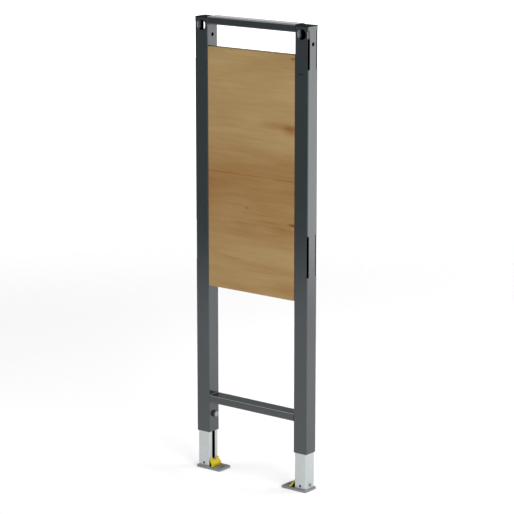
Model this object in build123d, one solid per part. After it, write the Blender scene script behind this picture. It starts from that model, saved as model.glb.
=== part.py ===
"""Grab rail installation frame: a welded steel frame with a mounting board and two telescopic feet.

Millimetres, +X to the right, +Y to the wall behind, +Z up. The origin is on the floor, midway
between the posts, in the middle of their depth. The feet stand at the setting that is shown.
"""
import os
from build123d import *

# Posts: square tube, with a cap on top
post_side = 40.0
post_wall = 2.0
post_corner = 2.5
post_length = 1070.0
frame_width = 350.0
cap_head = 1.6
cap_skirt = 12.0
cap_wall = 2.0
cap_clearance = 0.3

# Holes near the post tops
access_hole = 26.0
wall_hole = 11.0
wall_hole_drop = 19.0
side_hole = 10.0
side_hole_drop = 43.0

# Slots in the outer corners of the posts
slot_depth = 7.0
upper_slot_drop = 10.0
upper_slot_length = 94.0
middle_slot_drop = 513.0
middle_slot_length = 104.0

# Rails: rectangular tube between the posts
rail_height = 20.0
rail_wall = 2.0
rail_corner = 4.0
top_rail_rise = 4.0
bottom_rail_height = 80.0

# Mounting board and its brackets
board_drop = 71.0
board_height = 609.0
board_thickness = 22.0
board_recess = 0.5
board_side_gap = 0.5
board_edge = 0.6
bracket_height = 60.0
bracket_thickness = 3.0
bracket_reach = 32.0
bracket_inset = 70.0

# Telescopic legs
leg_clearance = 0.5
leg_wall = 2.0
leg_corner = 2.0
leg_length = 340.0
leg_shown = 93.0
leg_travel_in = 51.0
leg_travel_out = 149.0
slot_width = 12.0
slot_start = 17.0
slot_end_gap = 6.0
sight_hole = 5.0
sight_hole_height = 7.5

# Lock bolt with its clamp nut inside the leg
lock_height = 46.5
bolt_diameter = 8.0
bolt_hole_clearance = 0.25
bolt_flange = 18.0
bolt_flange_thickness = 2.0
bolt_head_flats = 13.0
bolt_head_height = 6.0
bolt_end = 2.0
nut_height = 26.0
nut_width = 18.0
nut_thickness = 6.0
nut_gap = 0.3
thread_clearance = 0.1

# Foot plate, latch and latch pin
plate_length = 75.0
plate_depth = 46.0
plate_thickness = 6.0
plate_corner = 2.0
plate_overhang = 2.5
anchor_hole = 11.0
anchor_edge = 10.5
latch_reach = 15.0
latch_base = 3.0
latch_depth = 35.0
latch_height = 20.0
latch_body = 10.5
latch_side = 8.0
latch_shoulder = 14.5
latch_crown = 3.5
latch_swell = 1.0
latch_round = 1.0
latch_notch_width = 14.0
latch_ramp = 5.0
latch_ramp_foot = 1.0
latch_ramp_rise = 5.0
latch_pocket_depth = 13.0
latch_pocket_width = 9.0
latch_pocket_height = 12.5
latch_pocket_wall = 0.6
latch_pocket_floor = 1.2
pin_height = 9.5
pin_diameter = 7.5
pin_hole_clearance = 0.25
pin_head = 9.5
pin_head_thickness = 1.5
pin_grip = 4.5

# Places worked out from the sizes
post_x = (frame_width - post_side) / 2
inner_face = frame_width / 2 - post_side
outer_face = frame_width / 2
front_face = -post_side / 2
leg_side = post_side - 2 * (post_wall + leg_clearance)
post_bottom = plate_thickness + leg_shown
post_top = post_bottom + post_length
lock_z = post_bottom + lock_height
rail_top = post_top + top_rail_rise
board_front = front_face + board_recess
board_back = board_front + board_thickness
board_top = post_top - board_drop
board_bottom = board_top - board_height
leg_inner = post_x - leg_side / 2
leg_outer = post_x + leg_side / 2
plate_outer = leg_outer + plate_overhang
plate_inner = plate_outer - plate_length
pin_z = plate_thickness + pin_height


def tube(width, depth, length, wall, corner):
    """Upright tube with rounded corners, standing on the XY plane."""
    inner_corner = max(corner - wall, wall / 4)
    section = RectangleRounded(width, depth, corner)
    section -= RectangleRounded(width - 2 * wall, depth - 2 * wall, inner_corner)
    return extrude(section, amount=length)


def along_x(x, y, z, radius, length):
    """Round bar along X, from x to x + length."""
    return Plane(origin=(x, y, z), x_dir=(0, 1, 0), z_dir=(1, 0, 0)) * Cylinder(
        radius, length, align=(Align.CENTER, Align.CENTER, Align.MIN)
    )


def along_y(x, y, z, radius, length):
    """Round bar along Y, from y to y + length."""
    return Plane(origin=(x, y, z), x_dir=(1, 0, 0), z_dir=(0, 1, 0)) * Cylinder(
        radius, length, align=(Align.CENTER, Align.CENTER, Align.MIN)
    )


def block(low, high):
    """Box between two corner points."""
    size = [b - a for a, b in zip(low, high)]
    return Pos(*low) * Box(*size, align=(Align.MIN, Align.MIN, Align.MIN))


def post():
    """Right post: square tube with its holes and the slots in its two outer corners."""
    body = Pos(post_x, 0, post_bottom) * tube(post_side, post_side, post_length, post_wall, post_corner)
    hole_z = post_top - wall_hole_drop
    body -= along_y(post_x, front_face - post_wall, hole_z, access_hole / 2, 3 * post_wall)
    body -= along_y(post_x, -front_face - 2 * post_wall, hole_z, wall_hole / 2, 3 * post_wall)
    body -= along_x(inner_face - post_wall, 0, post_top - side_hole_drop, side_hole / 2, post_side + 2 * post_wall)
    slots = ((upper_slot_drop, upper_slot_length), (middle_slot_drop, middle_slot_length))
    for drop, length in slots:
        top = post_top - drop
        for edge in (front_face, -front_face - slot_depth):
            low = (outer_face - post_wall, edge, top - length)
            high = (outer_face + post_wall, edge + slot_depth, top)
            body -= block(low, high)
    bolt_hole = bolt_diameter / 2 + bolt_hole_clearance
    body -= along_x(inner_face - post_wall, 0, lock_z, bolt_hole, 3 * post_wall)
    return body


def post_cap():
    """Cap of the right post: a thin square head with a hollow skirt inside the tube."""
    head = Pos(post_x, 0, post_top) * extrude(RectangleRounded(post_side, post_side, post_corner), amount=cap_head)
    skirt_side = post_side - 2 * (post_wall + cap_clearance)
    skirt_corner = post_corner / 2
    skirt = tube(skirt_side, skirt_side, cap_skirt, cap_wall, skirt_corner)
    hole_clear = post_top - wall_hole_drop + access_hole / 2
    skirt = Pos(post_x, 0, post_top - cap_skirt) * skirt
    skirt -= block((inner_face, front_face, post_top - cap_skirt), (outer_face, -front_face, hole_clear))
    return head + skirt


def rail(bottom):
    """Rectangular tube from post to post, its front and back flush with theirs."""
    length = 2 * inner_face
    section = tube(post_side, rail_height, length, rail_wall, rail_corner)
    place = Plane(
        origin=(-inner_face, 0, bottom + rail_height / 2), x_dir=(0, 1, 0), z_dir=(1, 0, 0)
    )
    return place * section


def mounting_board():
    """Timber board between the posts, flush with their fronts, its edges broken."""
    half = inner_face - board_side_gap
    board = block((-half, board_front, board_bottom), (half, board_back, board_top))
    return chamfer(board.edges(), board_edge)


def board_bracket(bottom):
    """Angle on the right post's inner face that carries one corner of the board from behind."""
    back = -front_face - post_corner
    on_post = block(
        (inner_face - bracket_thickness, board_back, bottom), (inner_face, back, bottom + bracket_height)
    )
    on_board = block(
        (inner_face - bracket_reach, board_back, bottom),
        (inner_face, board_back + bracket_thickness, bottom + bracket_height),
    )
    return on_post + on_board


def leg():
    """Right leg: tube that slides in the post, with a slot for the lock bolt in its inner side."""
    body = Pos(post_x, 0, plate_thickness) * tube(leg_side, leg_side, leg_length, leg_wall, leg_corner)
    half = slot_width / 2
    low_end = plate_thickness + slot_start
    high_end = lock_z + leg_travel_out + bolt_diameter / 2 + slot_end_gap
    low = (leg_inner - leg_wall, -half, low_end + half)
    high = (leg_inner + 2 * leg_wall, half, high_end - half)
    body -= block(low, high)
    for end in (low_end + half, high_end - half):
        body -= along_x(leg_inner - leg_wall, 0, end, half, 3 * leg_wall)
    sight_z = plate_thickness + sight_hole_height
    body -= along_y(post_x, -leg_side / 2 - leg_wall, sight_z, sight_hole / 2, 3 * leg_wall)
    pin_hole = pin_diameter / 2 + pin_hole_clearance
    body -= along_x(leg_inner - leg_wall, 0, pin_z, pin_hole, leg_side + 2 * leg_wall)
    return body


def foot_plate():
    """Right foot plate: under the leg and inwards of it, with one hole for a floor anchor."""
    middle = (plate_outer + plate_inner) / 2
    plate = Pos(middle, 0, 0) * extrude(
        RectangleRounded(plate_length, plate_depth, plate_corner), amount=plate_thickness
    )
    plate -= Pos(plate_inner + anchor_edge, 0, plate_thickness / 2) * Cylinder(anchor_hole / 2, 2 * plate_thickness)
    return plate


def foot_latch():
    """Right latch: plastic saddle on the plate beside the leg, two lugs on top, a pocket and a ramp in front."""
    base = plate_thickness
    top = base + latch_height
    shoulder = base + latch_shoulder
    foot = leg_inner - latch_reach
    body = leg_inner - latch_body
    crown = leg_inner - latch_crown
    front = -latch_depth / 2
    swell = ((body + crown - latch_swell) / 2, (base + latch_side + shoulder + latch_swell) / 2)
    outline = Polyline(
        (crown, shoulder), (crown, top), (leg_inner, top), (leg_inner, base), (foot, base),
        (foot, base + latch_base), (body, base + latch_base), (body, base + latch_side),
    )
    outline += ThreePointArc((body, base + latch_side), swell, (crown, shoulder))
    across = Plane(origin=(0, -front, 0), x_dir=(1, 0, 0), z_dir=(0, -1, 0))
    saddle = extrude(across * make_face(outline), amount=latch_depth)
    ridges = saddle.edges().filter_by(Axis.Y).filter_by(
        lambda edge: edge.center().X < leg_inner - latch_round and edge.center().Z > base + latch_side - latch_round
    )
    saddle = fillet(ridges, latch_round)
    half = latch_notch_width / 2
    saddle -= block((foot, -half, shoulder), (leg_inner + latch_crown, half, top + latch_crown))
    slope = Polyline(
        (front, base), (front - latch_ramp, base), (front - latch_ramp, base + latch_ramp_foot),
        (front, base + latch_ramp_rise), close=True,
    )
    along = Plane(origin=(foot, 0, 0), x_dir=(0, 1, 0), z_dir=(1, 0, 0))
    saddle += extrude(along * make_face(slope), amount=latch_body)
    low = base + latch_pocket_floor
    corner = leg_inner - latch_pocket_wall
    pocket = Polyline(
        (corner, low), (corner - latch_pocket_width, low), (corner, low + latch_pocket_height), close=True
    )
    mouth = Plane(origin=(0, front + latch_pocket_depth, 0), x_dir=(1, 0, 0), z_dir=(0, -1, 0))
    saddle -= extrude(mouth * make_face(pocket), amount=2 * latch_pocket_depth)
    saddle -= along_x(leg_inner - pin_grip, 0, pin_z, pin_diameter / 2 + thread_clearance, 2 * pin_grip)
    return saddle


def latch_pin():
    """Right latch pin: across the leg from its outer side into the latch."""
    shank = along_x(leg_inner - pin_grip, 0, pin_z, pin_diameter / 2, leg_side + pin_grip)
    head = along_x(leg_outer, 0, pin_z, pin_head / 2, pin_head_thickness)
    head = fillet(head.edges().sort_by(Axis.X)[-1], pin_head_thickness / 2)
    return shank + head


def lock_bolt():
    """Right lock bolt: flanged hexagon head on the post's inner face, shank through to the nut."""
    nut_far = leg_inner + leg_wall + nut_gap + nut_thickness
    shank = along_x(inner_face, 0, lock_z, bolt_diameter / 2, nut_far + bolt_end - inner_face)
    flange = along_x(inner_face - bolt_flange_thickness, 0, lock_z, bolt_flange / 2, bolt_flange_thickness)
    hexagon = RegularPolygon(bolt_head_flats / 2, 6, major_radius=False)
    seat = Plane(
        origin=(inner_face - bolt_flange_thickness, 0, lock_z), x_dir=(0, 1, 0), z_dir=(-1, 0, 0)
    )
    return shank + flange + extrude(seat * hexagon, amount=bolt_head_height)


def clamp_nut():
    """Right clamp nut: block inside the leg, wider than the slot."""
    near = leg_inner + leg_wall + nut_gap
    body = block(
        (near, -nut_width / 2, lock_z - nut_height / 2),
        (near + nut_thickness, nut_width / 2, lock_z + nut_height / 2),
    )
    body -= along_x(near - nut_thickness, 0, lock_z, bolt_diameter / 2 + thread_clearance, 3 * nut_thickness)
    return body


pairs = {
    "post": post(),
    "post_cap": post_cap(),
    "upper_bracket": board_bracket(board_top - bracket_inset - bracket_height),
    "lower_bracket": board_bracket(board_bottom + bracket_inset),
    "leg": leg(),
    "foot_plate": foot_plate(),
    "foot_latch": foot_latch(),
    "latch_pin": latch_pin(),
    "lock_bolt": lock_bolt(),
    "clamp_nut": clamp_nut(),
}
nodes = {
    "top_rail": rail(rail_top - rail_height),
    "bottom_rail": rail(post_bottom + bottom_rail_height),
    "mounting_board": mounting_board(),
}
for name, shape in pairs.items():
    nodes["right_" + name] = shape
    nodes["left_" + name] = mirror(shape, about=Plane.YZ)

os.makedirs("parts", exist_ok=True)
for name, shape in nodes.items():
    export_step(shape, "parts/" + name + ".step")
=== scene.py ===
"""Looks of the grab rail installation frame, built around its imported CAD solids.

Metres, +X to the right, +Y to the wall behind, +Z up. The feet stand as they do in the photograph.
"""
import math

import bpy
import numpy as np
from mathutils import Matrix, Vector


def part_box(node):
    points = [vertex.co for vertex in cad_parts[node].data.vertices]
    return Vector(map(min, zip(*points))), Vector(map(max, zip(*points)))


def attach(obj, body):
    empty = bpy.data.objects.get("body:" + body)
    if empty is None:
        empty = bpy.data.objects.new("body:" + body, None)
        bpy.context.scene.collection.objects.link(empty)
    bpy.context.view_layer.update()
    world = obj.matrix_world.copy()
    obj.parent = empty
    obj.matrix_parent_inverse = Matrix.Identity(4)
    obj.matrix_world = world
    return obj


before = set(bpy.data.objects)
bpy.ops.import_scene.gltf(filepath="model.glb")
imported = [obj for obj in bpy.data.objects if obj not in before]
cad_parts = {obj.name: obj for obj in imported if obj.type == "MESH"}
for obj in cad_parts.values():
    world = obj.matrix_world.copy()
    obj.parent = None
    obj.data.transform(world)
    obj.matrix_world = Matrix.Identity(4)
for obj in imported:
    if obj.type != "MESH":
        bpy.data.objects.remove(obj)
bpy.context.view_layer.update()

# Posts
# Two square steel tubes, 40 mm wide with 2 mm walls, punched, slotted at their outer corners and then
# powder coated with the rest of the welded frame. Their cut edges and insides are painted black as shade,
# but for a pale band of painted light around the access hole, where light falls in through it.
mm = 0.001
hands = (("left", -1), ("right", 1))
post_low, post_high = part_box("right_post")
post_x = (post_low.x + post_high.x) / 2
post_half = (post_high.x - post_low.x) / 2
post_corner = 2.5 * mm
skin_slack = 0.2 * mm
access_hole_z = post_high.z - 19 * mm
lit_near, lit_far = 7 * mm, 13 * mm
lit_front, lit_back = -5 * mm, 6 * mm
inside_shade_colour, hole_light_colour = "#0a0b0b", "#c4c8ca"


def linear(hex_colour):
    """sRGB hex to linear RGBA: c / 12.92 near black, else (c + 0.055) / 1.055 to the power 2.4."""
    srgb = np.array([int(hex_colour[i:i + 2], 16) for i in (1, 3, 5)]) / 255
    curve = ((srgb + 0.055) / 1.055) ** 2.4
    return (*np.where(srgb <= 0.04045, srgb / 12.92, curve), 1.0)


def add_node(tree, kind, settings=None, links=None):
    """Adds a node, sets its properties or its input sockets by name or number, and links its inputs.

    A link from a plain value sets the input to it.
    """
    node = tree.nodes.new(kind)
    for key, value in (settings or {}).items():
        if isinstance(key, str) and hasattr(node, key):
            setattr(node, key, value)
        else:
            node.inputs[key].default_value = value
    for key, source in (links or {}).items():
        if isinstance(source, bpy.types.NodeSocket):
            tree.links.new(source, node.inputs[key])
        else:
            node.inputs[key].default_value = source
    return node


def cloudy_finish(name, cloud_mm, tones, roughness, grit_mm=None, grit_depth_mm=0.05, **sockets):
    """A material whose colour and roughness drift between two values with a soft noise, with a fine bump.

    Sizes are those of the noise's clouds and of the bump's grit. The constant sockets go to the shader.
    """
    material = bpy.data.materials.new(name)
    material.use_nodes = True
    tree = material.node_tree
    tree.nodes.clear()
    shader = add_node(tree, "ShaderNodeBsdfPrincipled", sockets)
    add_node(tree, "ShaderNodeOutputMaterial", links={"Surface": shader.outputs["BSDF"]})
    place = add_node(tree, "ShaderNodeTexCoord").outputs["Object"]
    cloud = add_node(
        tree, "ShaderNodeTexNoise", {"Scale": 1 / (cloud_mm * mm), "Detail": 2.0}, {"Vector": place}
    ).outputs["Fac"]
    tint = add_node(
        tree, "ShaderNodeMix", {"data_type": "RGBA", 6: linear(tones[0]), 7: linear(tones[1])}, {0: cloud}
    ).outputs[2]
    gloss = add_node(
        tree, "ShaderNodeMapRange", {"To Min": roughness[0], "To Max": roughness[1]}, {"Value": cloud}
    )
    tree.links.new(tint, shader.inputs["Base Color"])
    tree.links.new(gloss.outputs["Result"], shader.inputs["Roughness"])
    if grit_mm:
        grit = add_node(
            tree, "ShaderNodeTexNoise", {"Scale": 1 / (grit_mm * mm), "Detail": 1.0}, {"Vector": place}
        )
        bump = add_node(
            tree, "ShaderNodeBump", {"Strength": 0.3, "Distance": grit_depth_mm * mm},
            {"Height": grit.outputs["Fac"]},
        )
        tree.links.new(bump.outputs["Normal"], shader.inputs["Normal"])
    return material, tree, shader, place, tint


def paint_shade_within(tree, shader, place, tint, half, corner, limit, dark):
    """Mixes a dark matt tone into the tint as painted shade where a point lies under a tube's rounded
    square skin.

    A point's reach is the length of what its offsets from the tube's axis have over the half side less the
    corner's radius. On the skin it is that radius, and where it is under the limit, the point is dark. The
    socket that comes back is 1 there.
    """
    gloss = shader.inputs["Roughness"].links[0].from_socket
    flat_half = half - corner
    offset = place
    for operation, other in (
        ("ABSOLUTE", (0, 0, 0)), ("SUBTRACT", (post_x, 0, 0)), ("ABSOLUTE", (0, 0, 0)),
        ("SUBTRACT", (flat_half, flat_half, post_high.z)), ("MAXIMUM", (0, 0, 0)),
    ):
        offset = add_node(
            tree, "ShaderNodeVectorMath", {"operation": operation, 1: other}, {0: offset}
        ).outputs[0]
    reach = add_node(tree, "ShaderNodeVectorMath", {"operation": "LENGTH"}, {0: offset}).outputs["Value"]
    within = add_node(tree, "ShaderNodeMath", {"operation": "LESS_THAN"}, {0: reach, 1: limit}).outputs[0]
    coat = add_node(tree, "ShaderNodeMix", {"data_type": "RGBA"}, {0: within, 6: tint, 7: dark})
    matt = add_node(tree, "ShaderNodeMath", {"operation": "MAXIMUM"}, {0: gloss, 1: within})
    tree.links.new(coat.outputs[2], shader.inputs["Base Color"])
    tree.links.new(matt.outputs[0], shader.inputs["Roughness"])
    return within


def dress(material, *nodes):
    """Gives CAD nodes that material in place of their own."""
    for node in nodes:
        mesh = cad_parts[node].data
        mesh.materials.clear()
        mesh.materials.append(material)


# Powder coat: cured polyester with a fine orange peel, which breaks up an otherwise clear gloss.
# The peel is about 1 mm across on the real coat, and is drawn at 2.5 mm so that it shows.
powder_coat, tree, shader, place, tint = cloudy_finish(
    "anthracite_powder_coat", 70, ("#1c2528", "#222b2e"), (0.1, 0.14),
    grit_mm=2.5, grit_depth_mm=0.02, IOR=1.7,
)
axes = add_node(tree, "ShaderNodeSeparateXYZ", links={"Vector": place}).outputs
# Painted light: a pale band inside the tube at the access hole's height, towards the front.
from_hole = add_node(
    tree, "ShaderNodeMath", {"operation": "SUBTRACT", 1: access_hole_z}, {0: axes["Z"]}
).outputs[0]
from_hole = add_node(tree, "ShaderNodeMath", {"operation": "ABSOLUTE"}, {0: from_hole}).outputs[0]
near_hole = add_node(
    tree, "ShaderNodeMapRange",
    {"interpolation_type": "SMOOTHSTEP", "From Min": lit_far, "From Max": lit_near},
    {"Value": from_hole},
).outputs["Result"]
near_front = add_node(
    tree, "ShaderNodeMapRange",
    {"interpolation_type": "SMOOTHSTEP", "From Min": lit_back, "From Max": lit_front},
    {"Value": axes["Y"]},
).outputs["Result"]
painted_hole_light = add_node(
    tree, "ShaderNodeMath", {"operation": "MULTIPLY"}, {0: near_hole, 1: near_front}
).outputs[0]
inside_shade_and_light = add_node(
    tree, "ShaderNodeMix", {"data_type": "RGBA", 6: linear(inside_shade_colour), 7: linear(hole_light_colour)},
    {0: painted_hole_light},
).outputs[2]
painted_inside = paint_shade_within(
    tree, shader, place, tint, post_half, post_corner, post_corner - skin_slack, inside_shade_and_light
)
# Inside, the colour is painted shade, black and metallic so that it shows no sheen, but for the painted
# light at the access hole.
tree.links.new(painted_inside, shader.inputs["Metallic"])
dress(powder_coat, "left_post", "right_post")

# Post caps
# Black polyethylene plugs, injection moulded, pressed into the tops of the posts. Only the thin square
# head shows, with the dull spark texture of its mould.
moulded_black = cloudy_finish(
    "black_polyethylene", 8, ("#040505", "#090a0a"), (0.75, 0.9), grit_mm=1.2, IOR=1.2
)[0]
dress(moulded_black, "left_post_cap", "right_post_cap")

# Rails and their welds
# Rectangular steel tubes set between the posts and welded to their inner faces above and below, then
# coated with them. The beads show the ripples that the torch leaves as it moves along the seam.
dress(powder_coat, "top_rail", "bottom_rail")
bead_rings = 64
bead_facets = 14
weld_leg = 1.8 * mm
weld_inset = 3.5 * mm
ripple_length = 2.6 * mm
ripple_swell = 0.08


def bar_along(start, end, across, up, ripple=0.0):
    """Closed bar along a line: rings at start + s (end - start), each an ellipse across cos t + up sin t.

    The ellipse shrinks near both ends by the square root of 1 - (2 s - 1) to the 16th power, and swells by
    the ripple's share with a sine along the line. The poles are the line's two ends.
    """
    start, end, across, up = (np.array(v, float) for v in (start, end, across, up))
    s = np.linspace(0, 1, bead_rings + 2)[1:-1, None, None]
    t = np.linspace(0, 2 * np.pi, bead_facets, endpoint=False)[None, :, None]
    length = np.linalg.norm(end - start)
    swell = np.sqrt(1 - (2 * s - 1) ** 16) * (1 + ripple * np.sin(2 * np.pi * s * length / ripple_length))
    rings = start + s * (end - start) + swell * (across * np.cos(t) + up * np.sin(t))
    return rings, np.array([start, end])


def add_piece(name, rings, poles, material, body):
    """A smooth closed piece: quads from ring to ring, and a fan of triangles from an end ring to its pole.

    It takes the given material and rides on the CAD body.
    """
    count, facets = rings.shape[:2]
    index = np.arange(count * facets).reshape(count, facets)
    ahead = np.roll(index, -1, axis=1)
    quads = np.stack([index[:-1], ahead[:-1], ahead[1:], index[1:]], axis=-1).reshape(-1, 4)
    first_fan = np.stack([ahead[0], index[0], np.full(facets, index.size)], axis=-1)
    last_fan = np.stack([index[-1], ahead[-1], np.full(facets, index.size + 1)], axis=-1)
    points = np.concatenate([rings.reshape(-1, 3), poles])
    mesh = bpy.data.meshes.new(name)
    mesh.from_pydata(points.tolist(), [], quads.tolist() + first_fan.tolist() + last_fan.tolist())
    mesh.shade_smooth()
    mesh.materials.append(material)
    piece = bpy.data.objects.new(name, mesh)
    bpy.context.scene.collection.objects.link(piece)
    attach(piece, body)


def add_weld(name, x, z, from_y, to_y):
    """A rippled bead of powder coated weld along Y."""
    rings, poles = bar_along(
        (x, from_y, z), (x, to_y, z), (weld_leg, 0, 0), (0, 0, -weld_leg), ripple=ripple_swell
    )
    add_piece(name, rings, poles, powder_coat, "frame")


for node, edges in (("top_rail", ("lower",)), ("bottom_rail", ("lower", "upper"))):
    low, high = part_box(node)
    for hand, sign in hands:
        for edge in edges:
            seam_z = low.z if edge == "lower" else high.z
            add_weld(
                f"{hand}_{node}_{edge}_weld", sign * high.x, seam_z, low.y + weld_inset, high.y - weld_inset
            )

# Board brackets with their welds and screws
# Steel angles welded to the posts' inner faces and coated with the frame. Two zinc plated pan head screws
# with a cross recess go through each of them into the back of the board.
inner_face = post_low.x
bracket_thickness = 3 * mm
head_rings = 26
head_facets = 72
head_radius = 4.6 * mm
head_height = 2.6 * mm
recess_reach = 2.5 * mm
recess_half_width = 0.55 * mm
recess_depth = 1.7 * mm
recess_edge = 0.15 * mm
screw_inset = 19 * mm
screw_spread = 14 * mm
screw_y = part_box("mounting_board")[1].y + bracket_thickness


def screw_head(centre):
    """Pan head on a face that looks to +Y, as rings from its rim to its middle.

    Its height at radius r is the full height times the square root of 1 - (r / rim) to the 4th power. The
    cross takes the recess depth off where a point is within an arm's reach and its half width.
    """
    r = np.linspace(1, 0, head_rings, endpoint=False)[:, None] * head_radius
    t = np.linspace(0, -2 * np.pi, head_facets, endpoint=False)[None, :]
    x, z = r * np.cos(t), r * np.sin(t)
    dome = head_height * np.sqrt(1 - (r / head_radius) ** 4)
    narrow = np.minimum(np.abs(x), np.abs(z))
    in_arm = np.clip((recess_half_width + recess_edge - narrow) / (2 * recess_edge), 0, 1)
    in_reach = np.clip((recess_reach + recess_edge - r) / (2 * recess_edge), 0, 1)
    y = dome - recess_depth * in_arm * in_reach
    middle = np.array(centre) + (0, head_height - recess_depth, 0)
    return np.stack([x, y, z], axis=-1) + np.array(centre), np.array([centre, middle])


# Zinc plating: a thin bright deposit over turned steel, a little cloudy, that mirrors softly.
zinc_plate = cloudy_finish("zinc_plated_steel", 5, ("#8f9497", "#b4b8ba"), (0.28, 0.45), Metallic=1.0)[0]
for hand, sign in hands:
    for row in ("upper", "lower"):
        bracket = f"{hand}_{row}_bracket"
        dress(powder_coat, bracket)
        low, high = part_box(bracket)
        for edge, seam_z in (("lower", low.z), ("upper", high.z)):
            add_weld(
                f"{bracket}_{edge}_weld", sign * inner_face, seam_z, low.y + weld_leg, high.y - weld_leg
            )
        for number, step in ((1, -screw_spread), (2, screw_spread)):
            centre = (sign * (inner_face - screw_inset), screw_y, (low.z + high.z) / 2 + step)
            rings, poles = screw_head(centre)
            add_piece(f"{hand}_{row}_screw_{number}", rings, poles, zinc_plate, "frame")

# Mounting board
# A 22 mm board of glued veneers between the posts, sanded and left raw. Its grain runs from post to post,
# with a glue line between two strips of veneer, a few streaks, and small knots at its right edge.
glue_z = 787.5 * mm
glue_half_width = 3 * mm
glue_weight = 0.28
dark_above, dark_below, dark_end = 130 * mm, 145 * mm, 190 * mm
dark_weight = 0.36
streak_depth = 40 * mm
ply_thickness = 2.45 * mm
ply_blend = 0.4
mostly = 0.5
dark_grain, knot_core = "#804d00", "#2e2514"
pale_ply, dark_ply = "#967a52", "#6a5132"

# Raw plywood: a matt face whose tone follows the grain, and edges with dark and pale plies in turn.
plywood, tree, shader, place, tint = cloudy_finish(
    "sanded_plywood", 120, ("#aa9061", "#a68c5d"), (0.5, 0.62), grit_mm=3, IOR=1.45
)
axes = add_node(tree, "ShaderNodeSeparateXYZ", links={"Vector": place}).outputs
# Streaks: length and width of each in millimetres, its detail, the range of noise used and its weight.
darkness = 0.0
for length, width, detail, noise_low, noise_high, weight in (
    (400, 90, 2.0, 0.36, 0.66, 0.28), (180, 14, 3.0, 0.4, 0.7, 0.16), (60, 4, 2.0, 0.35, 0.7, 0.1),
):
    stretch = (1 / (length * mm), 1 / streak_depth, 1 / (width * mm))
    spread = add_node(tree, "ShaderNodeMapping", {"Scale": stretch}, {"Vector": place})
    streak = add_node(
        tree, "ShaderNodeTexNoise", {"Scale": 1.0, "Detail": detail, "Distortion": 0.8},
        {"Vector": spread.outputs["Vector"]},
    )
    share = add_node(
        tree, "ShaderNodeMapRange", {"From Min": noise_low, "From Max": noise_high, "To Max": weight},
        {"Value": streak.outputs["Fac"]},
    )
    darkness = add_node(
        tree, "ShaderNodeMath", {"operation": "ADD"}, {0: darkness, 1: share.outputs["Result"]}
    ).outputs[0]


def add_ovals(share, ovals):
    """Adds each oval's weight to a share in its middle, and less outwards, down to nothing at its rim.

    The fall is a smooth step of a point's distance from the middle, as a part of the oval's half sizes.
    """
    for x, z, half_length, half_height, weight in ovals:
        oval = add_node(
            tree, "ShaderNodeMapping",
            {"Scale": (1 / (half_length * mm), 0, 1 / (half_height * mm)),
             "Location": (-x / half_length, 0, -z / half_height)},
            {"Vector": place},
        )
        far = add_node(tree, "ShaderNodeVectorMath", {"operation": "LENGTH"}, {0: oval.outputs["Vector"]})
        more = add_node(
            tree, "ShaderNodeMapRange",
            {"interpolation_type": "SMOOTHSTEP", "From Min": 1.0, "From Max": 0.0, "To Max": weight},
            {"Value": far.outputs["Value"]},
        )
        share = add_node(
            tree, "ShaderNodeMath", {"operation": "ADD"}, {0: share, 1: more.outputs["Result"]}
        ).outputs[0]
    return share


# Knots with the dark ends of streaks, and the knots' cores: place, half length and half height in
# millimetres, and weight.
darkness = add_ovals(darkness, (
    (131, 678, 26, 7, 0.4), (60, 676, 60, 5, 0.2), (124, 914, 40, 22, 0.5), (80, 920, 90, 18, 0.24),
    (-12, 705, 9, 4, 0.35), (129, 1088, 14, 5, 0.3), (-40, 664, 40, 9, 0.14), (100, 658, 70, 18, 0.24),
    (110, 520, 80, 34, 0.22),
))
core = add_ovals(0.0, ((131, 678, 16, 5, 0.5), (131, 1088, 13, 5, 0.45), (-12, 705, 6, 3, 0.3)))
# The glue line, and the darker veneer around it, which pales slowly upwards and sooner downwards.
from_glue = add_node(
    tree, "ShaderNodeMath", {"operation": "SUBTRACT", 1: glue_z}, {0: axes["Z"]}
).outputs[0]
near_glue = add_node(tree, "ShaderNodeMath", {"operation": "ABSOLUTE"}, {0: from_glue}).outputs[0]
line = add_node(
    tree, "ShaderNodeMapRange",
    {"interpolation_type": "SMOOTHSTEP", "From Min": glue_half_width, "From Max": 0.0,
     "To Max": glue_weight},
    {"Value": near_glue},
)
upwards = add_node(
    tree, "ShaderNodeMapRange",
    {"interpolation_type": "SMOOTHSTEP", "From Min": dark_above, "From Max": 0.0, "To Max": dark_weight},
    {"Value": from_glue},
)
downwards = add_node(
    tree, "ShaderNodeMapRange",
    {"interpolation_type": "SMOOTHSTEP", "From Min": -dark_end, "From Max": -dark_below},
    {"Value": from_glue},
)
strip = add_node(
    tree, "ShaderNodeMath", {"operation": "MULTIPLY_ADD"},
    {0: upwards.outputs["Result"], 1: downwards.outputs["Result"], 2: line.outputs["Result"]},
)
darkness = add_node(
    tree, "ShaderNodeMath", {"operation": "ADD"}, {0: darkness, 1: strip.outputs[0]}
).outputs[0]
face_tint = add_node(
    tree, "ShaderNodeMix", {"data_type": "RGBA", 7: linear(dark_grain)}, {0: darkness, 6: tint}
).outputs[2]
face_tint = add_node(
    tree, "ShaderNodeMix", {"data_type": "RGBA", 7: linear(knot_core)}, {0: core, 6: face_tint}
).outputs[2]
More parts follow.
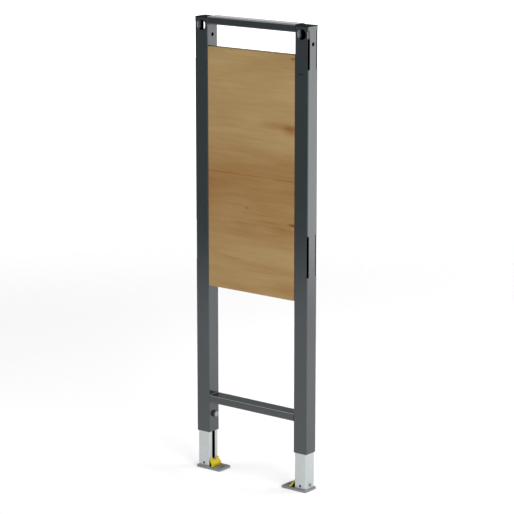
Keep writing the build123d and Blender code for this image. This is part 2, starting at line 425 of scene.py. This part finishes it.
# The plies take turns through the thickness with a steep sine, and show on the edges alone.
turn = add_node(
    tree, "ShaderNodeMath", {"operation": "MULTIPLY", 1: math.pi / ply_thickness}, {0: axes["Y"]}
)
wave = add_node(tree, "ShaderNodeMath", {"operation": "SINE"}, {0: turn.outputs[0]})
ply = add_node(
    tree, "ShaderNodeMapRange", {"From Min": -ply_blend, "From Max": ply_blend}, {"Value": wave.outputs[0]}
)
edge_tint = add_node(
    tree, "ShaderNodeMix", {"data_type": "RGBA", 6: linear(pale_ply), 7: linear(dark_ply)},
    {0: ply.outputs["Result"]},
)
normal = add_node(tree, "ShaderNodeNewGeometry").outputs["Normal"]
facing = add_node(tree, "ShaderNodeSeparateXYZ", links={"Vector": normal})
facing = add_node(tree, "ShaderNodeMath", {"operation": "ABSOLUTE"}, {0: facing.outputs["Y"]})
on_face = add_node(
    tree, "ShaderNodeMath", {"operation": "GREATER_THAN", 1: mostly}, {0: facing.outputs[0]}
)
wood_tint = add_node(
    tree, "ShaderNodeMix", {"data_type": "RGBA"},
    {0: on_face.outputs[0], 6: edge_tint.outputs[2], 7: face_tint},
)
tree.links.new(wood_tint.outputs[2], shader.inputs["Base Color"])
dress(plywood, "mounting_board")

# Height line
# A short line on the front of the right post, 1 m above the finished floor, to set the frame's height by.
# It is printed over the coat in black, so it stands out only by its darker tone.
line_z = 1054 * mm
line_from, line_to = 142.5 * mm, 162.5 * mm
line_half_height = 1.0 * mm
line_proud = 0.06 * mm
printed_ink = cloudy_finish("black_ink", 2, ("#020203", "#08090c"), (0.45, 0.6), IOR=1.3)[0]
rings, poles = bar_along(
    (line_from, -post_half, line_z), (line_to, -post_half, line_z),
    (0, 0, line_half_height), (0, -line_proud, 0),
)
add_piece("height_line", rings, poles, printed_ink, "frame")

# Lock bolts and clamp nuts
# Zinc plated bolts with a hexagon head and a flange, one in each post's inner face. Each draws a nut plate
# inside the leg against the post, and holds the foot at its height. The flange is drawn black and not
# metallic.
flange_reach = 2.1 * mm
flange_black = "#070808"
black_flanged_bolt, tree, shader, place, tint = cloudy_finish(
    "zinc_plate_with_black_flange", 5, ("#85898c", "#a6aaac"), (0.36, 0.5)
)
axes = add_node(tree, "ShaderNodeSeparateXYZ", links={"Vector": place}).outputs
aside = add_node(tree, "ShaderNodeMath", {"operation": "ABSOLUTE"}, {0: axes["X"]}).outputs[0]
bright = add_node(
    tree, "ShaderNodeMath", {"operation": "LESS_THAN", 1: inner_face - flange_reach}, {0: aside}
)
flange_tint = add_node(
    tree, "ShaderNodeMix", {"data_type": "RGBA", 6: linear(flange_black)}, {0: bright.outputs[0], 7: tint}
)
tree.links.new(flange_tint.outputs[2], shader.inputs["Base Color"])
tree.links.new(bright.outputs[0], shader.inputs["Metallic"])
dress(black_flanged_bolt, "left_lock_bolt", "right_lock_bolt")
dress(zinc_plate, "left_clamp_nut", "right_clamp_nut")

# Legs
# Square tubes of galvanised steel, 35 mm wide, that slide in the posts. A slot in the inner side lets the
# lock bolt through, and a small round hole low in front shows the end of the pin's spring.
leg_low, leg_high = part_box("right_leg")
leg_half = (leg_high.x - leg_low.x) / 2
leg_corner = 2 * mm
leg_wall = 2 * mm
slot_low_end = leg_low.z + 16 * mm
sight_z = leg_low.z + 7.5 * mm
shade_ring_radius = 3.1 * mm
leg_inside_shade = "#0b0c0c"

# Strip galvanising: a pale zinc skin with a fine spangle, which shows as a faint change of tone.
# The crystals are 2 to 4 mm across on strip, and are drawn at 7 mm so that they show.
galvanised, tree, shader, place, tint = cloudy_finish(
    "galvanised_strip", 7, ("#babfc0", "#c5cacb"), (0.32, 0.42), Metallic=1.0
)
# The slot's cut edges are galvanised too. The insides, the cut edges in the lowest 16 mm and the small hole
# low in front are painted dark as shade, with a narrow ring of painted shade around that hole.
axes = add_node(tree, "ShaderNodeSeparateXYZ", links={"Vector": place}).outputs
low_down = add_node(tree, "ShaderNodeMath", {"operation": "LESS_THAN", 1: slot_low_end}, {0: axes["Z"]})
limit = add_node(
    tree, "ShaderNodeMapRange",
    {"To Min": leg_corner - leg_wall + skin_slack, "To Max": leg_corner - skin_slack},
    {"Value": low_down.outputs[0]},
).outputs["Result"]
for hand, sign in hands:
    sight = (sign * post_x, -leg_half, sight_z)
    from_sight = add_node(tree, "ShaderNodeVectorMath", {"operation": "DISTANCE", 1: sight}, {0: place})
    shade_ring = add_node(
        tree, "ShaderNodeMath", {"operation": "LESS_THAN", 1: shade_ring_radius},
        {0: from_sight.outputs["Value"]},
    )
    limit = add_node(
        tree, "ShaderNodeMath", {"operation": "MULTIPLY_ADD", 1: leg_corner},
        {0: shade_ring.outputs[0], 2: limit},
    ).outputs[0]
paint_shade_within(tree, shader, place, tint, leg_half, leg_corner, limit, linear(leg_inside_shade))
dress(galvanised, "left_leg", "right_leg")

# Foot plates and latch pins
# Steel plates that lie on the floor, punched for an anchor, with a pin through the leg above each of them.
# They are dip galvanised after cutting, which leaves a dull grey skin with cloudy patches.
dip_zinc = cloudy_finish(
    "dip_galvanised_steel", 14, ("#6b6f72", "#9b9fa1"), (0.42, 0.6), grit_mm=1.5, Metallic=0.75
)[0]
dress(dip_zinc, "left_foot_plate", "left_latch_pin", "right_foot_plate", "right_latch_pin")

# Foot latches
# Yellow nylon saddles, injection moulded, that sit on the plates against the legs' inner sides, with two
# lugs beside the slot, and a deep pocket and a ramp in front.
latch_low, latch_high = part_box("right_foot_latch")
pocket_foot = latch_low.z + 1.2 * mm
pocket_corner = latch_high.x - 0.6 * mm
pocket_width = 9 * mm
pocket_rise = 12.5 * mm
pocket_mouth = latch_low.y + 5 * mm
pocket_depth = 13 * mm
pocket_shade_spread = 0.8 * mm
seam_width = 2.2 * mm
seam_rise = 16 * mm
base_shade_rise = 6 * mm
base_shade_weight = 0.75
latch_shade_colour = "#1e1504"
moulded_yellow, tree, shader, place, tint = cloudy_finish(
    "yellow_nylon", 9, ("#b09e04", "#c4b208"), (0.42, 0.52), IOR=1.4
)
# Painted shade darkens the pocket behind its mouth, under its slope and a little around them.
# More painted shade darkens the seam along the leg above it, and the latch low down along the plate.
axes = add_node(tree, "ShaderNodeSeparateXYZ", links={"Vector": place}).outputs
aside = add_node(tree, "ShaderNodeMath", {"operation": "ABSOLUTE"}, {0: axes["X"]}).outputs[0]
slope = add_node(
    tree, "ShaderNodeMapRange",
    {"clamp": False, "From Min": pocket_corner - pocket_width, "From Max": pocket_corner,
     "To Min": pocket_foot + pocket_shade_spread, "To Max": pocket_foot + pocket_rise + pocket_shade_spread},
    {"Value": aside},
)
under = add_node(
    tree, "ShaderNodeMath", {"operation": "LESS_THAN"}, {0: axes["Z"], 1: slope.outputs["Result"]}
)
by_leg = add_node(
    tree, "ShaderNodeMath", {"operation": "GREATER_THAN", 1: pocket_corner - seam_width}, {0: aside}
)
seam = add_node(
    tree, "ShaderNodeMath", {"operation": "LESS_THAN", 1: latch_low.z + seam_rise}, {0: axes["Z"]}
)
seam = add_node(
    tree, "ShaderNodeMath", {"operation": "MULTIPLY"}, {0: seam.outputs[0], 1: by_leg.outputs[0]}
)
under = add_node(
    tree, "ShaderNodeMath", {"operation": "MAXIMUM"}, {0: under.outputs[0], 1: seam.outputs[0]}
)
beside = add_node(
    tree, "ShaderNodeMath",
    {"operation": "COMPARE", 1: pocket_corner - pocket_width / 2, 2: pocket_width / 2 + pocket_shade_spread},
    {0: aside},
)
over = add_node(
    tree, "ShaderNodeMath", {"operation": "GREATER_THAN", 1: pocket_foot - skin_slack}, {0: axes["Z"]}
)
before = add_node(
    tree, "ShaderNodeMath",
    {"operation": "LESS_THAN", 1: pocket_mouth + pocket_depth + skin_slack}, {0: axes["Y"]},
)
shade_share = add_node(
    tree, "ShaderNodeMapRange",
    {"interpolation_type": "SMOOTHSTEP", "From Min": pocket_mouth - 2 * skin_slack,
     "From Max": pocket_mouth - skin_slack},
    {"Value": axes["Y"]},
).outputs["Result"]
for bound in (under, beside, over, before):
    shade_share = add_node(
        tree, "ShaderNodeMath", {"operation": "MULTIPLY"}, {0: shade_share, 1: bound.outputs[0]}
    ).outputs[0]
# Painted shade low down along the plate, fading out upwards.
base_shade = add_node(
    tree, "ShaderNodeMapRange",
    {"interpolation_type": "SMOOTHSTEP", "From Min": latch_low.z + base_shade_rise, "From Max": latch_low.z,
     "To Max": base_shade_weight},
    {"Value": axes["Z"]},
).outputs["Result"]
shade_share = add_node(tree, "ShaderNodeMath", {"operation": "MAXIMUM"}, {0: shade_share, 1: base_shade}).outputs[0]
shaded_tint = add_node(
    tree, "ShaderNodeMix", {"data_type": "RGBA", 7: linear(latch_shade_colour)}, {0: shade_share, 6: tint}
)
tree.links.new(shaded_tint.outputs[2], shader.inputs["Base Color"])
dress(moulded_yellow, "left_foot_latch", "right_foot_latch")

# Floor
# A round sheet of pale matt board, full to one and a half metres from the frame and faded out beyond, so
# that no edge shows. It is cut in two along the line of sight, and each half goes with the foot on it, so
# that a foot that slides out still stands on the floor and isn't hidden by it.
floor_full, floor_end = 1.5, 3.2
floor_rings = 12
floor_turns = 49
line_of_sight = math.radians(37.72)
matt_board, tree, shader, place, tint = cloudy_finish(
    "matt_white_board", 20, ("#f1f1f1", "#f4f4f4"), (0.88, 0.95), IOR=1.3
)
radius = add_node(tree, "ShaderNodeVectorMath", {"operation": "LENGTH"}, {0: place})
fade = add_node(
    tree, "ShaderNodeMapRange",
    {"interpolation_type": "SMOOTHSTEP", "From Min": floor_full, "From Max": floor_end},
    {"Value": radius.outputs["Value"]},
)
clear = add_node(tree, "ShaderNodeBsdfTransparent")
sheet = add_node(
    tree, "ShaderNodeMixShader",
    links={0: fade.outputs["Result"], 1: shader.outputs["BSDF"], 2: clear.outputs["BSDF"]},
)
add_node(tree, "ShaderNodeOutputMaterial", {"is_active_output": True}, {"Surface": sheet.outputs["Shader"]})

# Half a disc: points at radius r and angle t, as rings from the rim inwards, round one point in the middle.
r = np.linspace(1, 0, floor_rings, endpoint=False)[:, None] * floor_end
t = np.linspace(line_of_sight - np.pi / 2, line_of_sight + np.pi / 2, floor_turns)[None, :]
rings = np.stack([r * np.cos(t), r * np.sin(t), 0 * r * t], axis=-1)
index = np.arange(floor_rings * floor_turns).reshape(floor_rings, floor_turns)
quads = np.stack([index[:-1, :-1], index[:-1, 1:], index[1:, 1:], index[1:, :-1]], axis=-1).reshape(-1, 4)
fan = np.stack([index[-1, :-1], index[-1, 1:], np.full(floor_turns - 1, index.size)], axis=-1)
points = np.concatenate([rings.reshape(-1, 3), np.zeros((1, 3))])
for hand, sign in hands:
    mesh = bpy.data.meshes.new(f"{hand}_floor")
    mesh.from_pydata((sign * points).tolist(), [], quads.tolist() + fan.tolist())
    mesh.materials.append(matt_board)
    floor = bpy.data.objects.new(f"{hand}_floor", mesh)
    bpy.context.scene.collection.objects.link(floor)
    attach(floor, f"{hand}_foot")

# Studio light
# A pale room with a narrow window of light low at the back on the right, which the posts' sides mirror, and
# a dim part in front on the left, which their fronts mirror. A strip of light overhead shows in the rails'
# rounded edges. Two soft lamps help, one at the right and a small one over the floor behind.
room_level = 1.03
room = bpy.data.worlds.new("studio")
room.use_nodes = True
bpy.context.scene.world = room
tree = room.node_tree
tree.nodes.clear()
ray = add_node(tree, "ShaderNodeTexCoord").outputs["Generated"]
# Each change of light: its direction, the cosines of the angles where it starts and is full, and its size.
# They are the dim part in front, the window, the dim patches beside and above it, a dim patch high at the
# back on the left for the tops to mirror, the bright ground behind under that, and a dimmer ceiling.
strength = room_level
for direction, start, full, change in (
    ((-0.61, -0.79, 0.0), 0.2, 0.9, -0.74), ((0.572, 0.813, -0.108), 0.968, 0.998, 1.6),
    ((0.655, 0.744, -0.13), 0.9965, 0.9996, -0.8), ((0.62, 0.71, 0.35), 0.9, 0.96, -0.7),
    ((-0.54, 0.7, 0.47), 0.87, 0.95, -0.78), ((-0.612, 0.791, 0.0), 0.975, 0.998, 0.8),
    ((0.2, 0.5, 0.843), 0.6, 0.95, -0.2),
):
    near = add_node(tree, "ShaderNodeVectorMath", {"operation": "DOT_PRODUCT", 1: direction}, {0: ray})
    glow = add_node(
        tree, "ShaderNodeMapRange",
        {"interpolation_type": "SMOOTHSTEP", "From Min": start, "From Max": full, "To Max": change},
        {"Value": near.outputs["Value"]},
    )
    strength = add_node(
        tree, "ShaderNodeMath", {"operation": "ADD"}, {0: strength, 1: glow.outputs["Result"]}
    ).outputs[0]
# The strip of light: the ray's X where its middle is, how far from there it is full and ends, and then the
# ray's Y and Z where it starts and is full.
strip_x, strip_full, strip_end = -0.596, 0.1, 0.24
strip_change = 2.4
axes = add_node(tree, "ShaderNodeSeparateXYZ", links={"Vector": ray}).outputs
aside = add_node(tree, "ShaderNodeMath", {"operation": "SUBTRACT", 1: strip_x}, {0: axes["X"]}).outputs[0]
aside = add_node(tree, "ShaderNodeMath", {"operation": "ABSOLUTE"}, {0: aside}).outputs[0]
glow = add_node(
    tree, "ShaderNodeMapRange",
    {"interpolation_type": "SMOOTHSTEP", "From Min": strip_end, "From Max": strip_full,
     "To Max": strip_change},
    {"Value": aside},
).outputs["Result"]
for axis, start, full in (("Y", 0.3, 0.0), ("Z", 0.35, 0.5)):
    along = add_node(
        tree, "ShaderNodeMapRange",
        {"interpolation_type": "SMOOTHSTEP", "From Min": start, "From Max": full}, {"Value": axes[axis]},
    )
    glow = add_node(
        tree, "ShaderNodeMath", {"operation": "MULTIPLY"}, {0: glow, 1: along.outputs["Result"]}
    ).outputs[0]
strength = add_node(tree, "ShaderNodeMath", {"operation": "ADD"}, {0: strength, 1: glow}).outputs[0]
background = add_node(tree, "ShaderNodeBackground", {"Color": linear("#ffffff")}, {"Strength": strength})
add_node(tree, "ShaderNodeOutputWorld", links={"Surface": background.outputs["Background"]})

# Each lamp: its size in metres, its power in watts, its place and the point that it faces.
for name, size, power, lamp_place, faced in (
    ("fill", 2.8, 104, (3.8, -1.2, 1.9), (0, 0, 0.6)),
    ("floor_light", 0.8, 11, (0.9, 0.9, 1.5), (0.9, 0.9, 0)),
):
    light = bpy.data.lights.new(name, "AREA")
    light.shape = "SQUARE"
    light.size = size
    light.energy = power
    lamp = bpy.data.objects.new(name, light)
    lamp.location = lamp_place
    lamp.rotation_euler = (Vector(faced) - lamp.location).to_track_quat("-Z", "Y").to_euler()
    bpy.context.scene.collection.objects.link(lamp)

# Camera
# A long lens in front on the right, a little above the frame, pitched down at it.
photo_size = 514
focal_px = 2230.5
camera_pitch = math.radians(12.99)
camera_distance = 5.569
aim_height = 0.6
aim_right, aim_up = 3.66 * mm, -21.33 * mm
right = np.array([math.cos(line_of_sight), math.sin(line_of_sight), 0])
level = np.array([-math.sin(line_of_sight), math.cos(line_of_sight), 0])
upright = np.array([0, 0, 1])
up = level * math.sin(camera_pitch) + upright * math.cos(camera_pitch)
forward = level * math.cos(camera_pitch) - upright * math.sin(camera_pitch)
aim = aim_height * upright + aim_right * right + aim_up * up
lens = bpy.data.cameras.new("camera")
lens.sensor_width = 36
lens.lens = focal_px / photo_size * lens.sensor_width
camera = bpy.data.objects.new("camera", lens)
camera.location = aim - camera_distance * forward
camera.rotation_euler = (math.pi / 2 - camera_pitch, 0, line_of_sight)
bpy.context.scene.collection.objects.link(camera)
bpy.context.scene.camera = camera
bpy.context.scene.view_settings.view_transform = "Standard"
